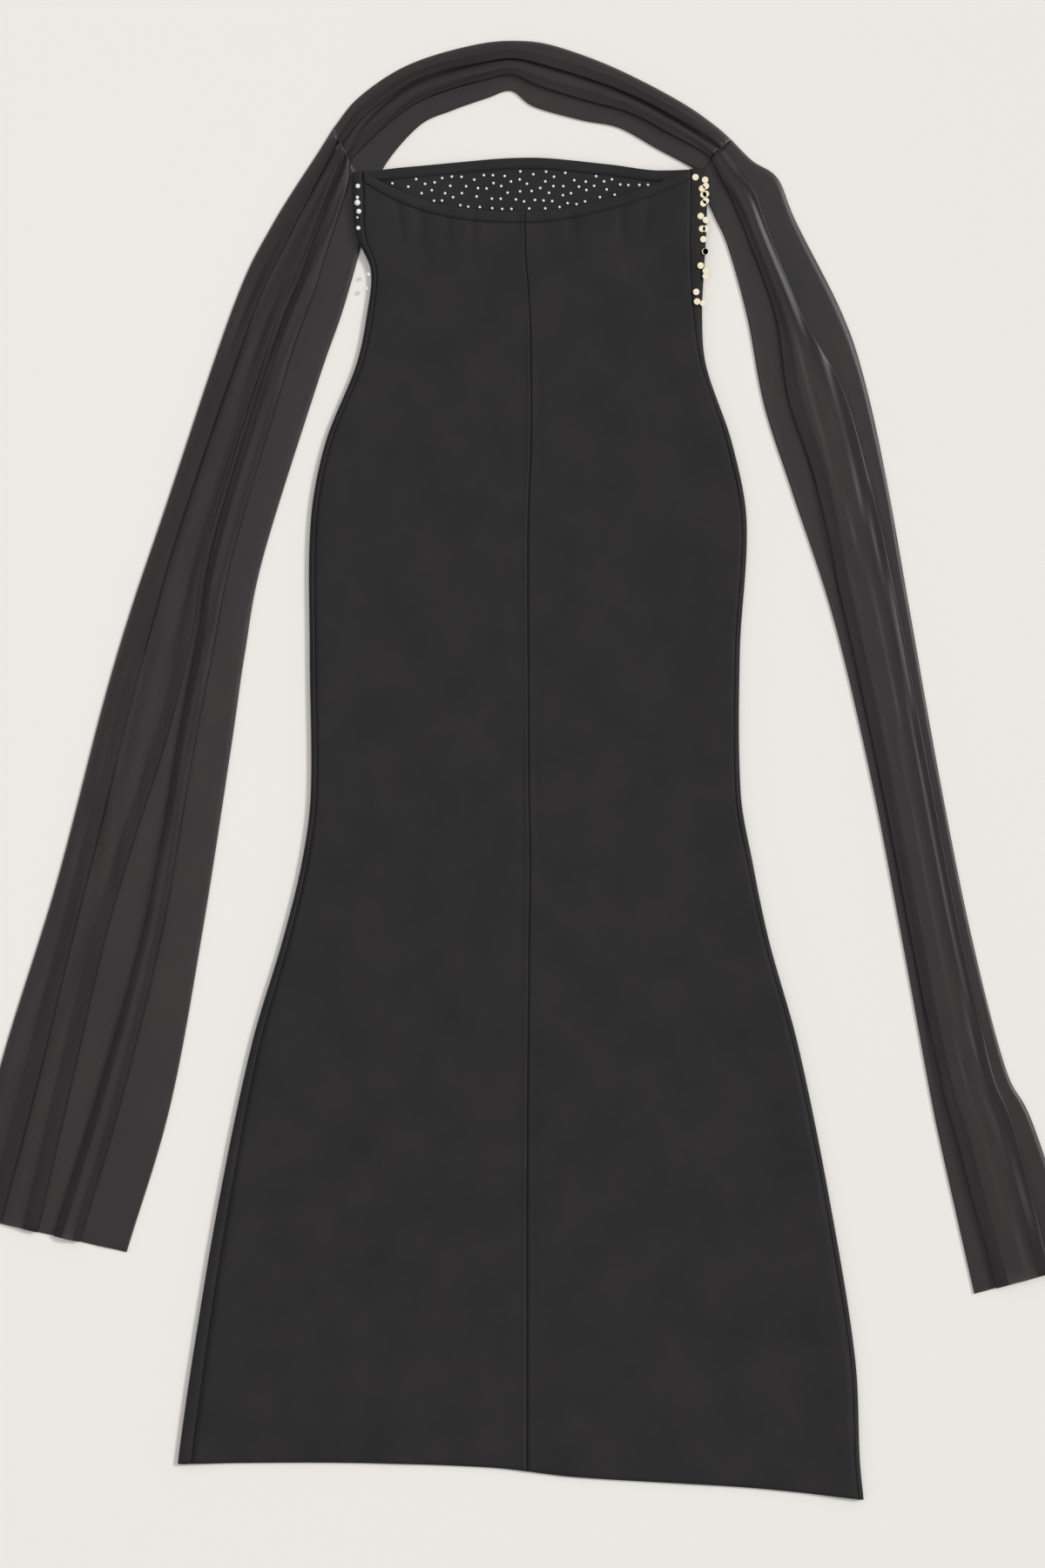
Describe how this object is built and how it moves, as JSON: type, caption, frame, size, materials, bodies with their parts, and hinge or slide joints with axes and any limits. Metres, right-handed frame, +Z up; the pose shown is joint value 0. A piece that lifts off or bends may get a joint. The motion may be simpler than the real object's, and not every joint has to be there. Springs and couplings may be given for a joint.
{
  "type": "column gown with an attached sheer stole, lying flat",
  "caption": "Strapless black column gown with a flared hem, laid flat back side up, with a long pleated sheer stole that runs round the neck from corner to corner and falls along both sides.",
  "frame": {"origin": "on the table under the middle of the cloth's box", "axes": "+Z up, away from the table; +Y along the gown from the hem to the neckline; +X to the right as seen from above"},
  "size_m": [1.152, 1.506, 0.0097],
  "materials": {
    "gown_knit": "matte heavy double knit",
    "band_knit": "matte turned and topstitched knit",
    "stole_mesh": "fine sheer mesh knit with a satin sheen",
    "thread": "matte sewing thread",
    "stones": "polished faceted stones",
    "discs": "pearled cream discs"
  },
  "bodies": {
    "root": {"front_panel": "gown_knit", "back_left_panel": "gown_knit", "back_right_panel": "gown_knit", "neck_band_front": "band_knit", "neck_band_back_left": "band_knit", "neck_band_back_right": "band_knit", "stole_left_fall": "stole_mesh", "stole_neck_arc": "stole_mesh", "stole_right_fall": "stole_mesh"}
  },
  "joints": []
}
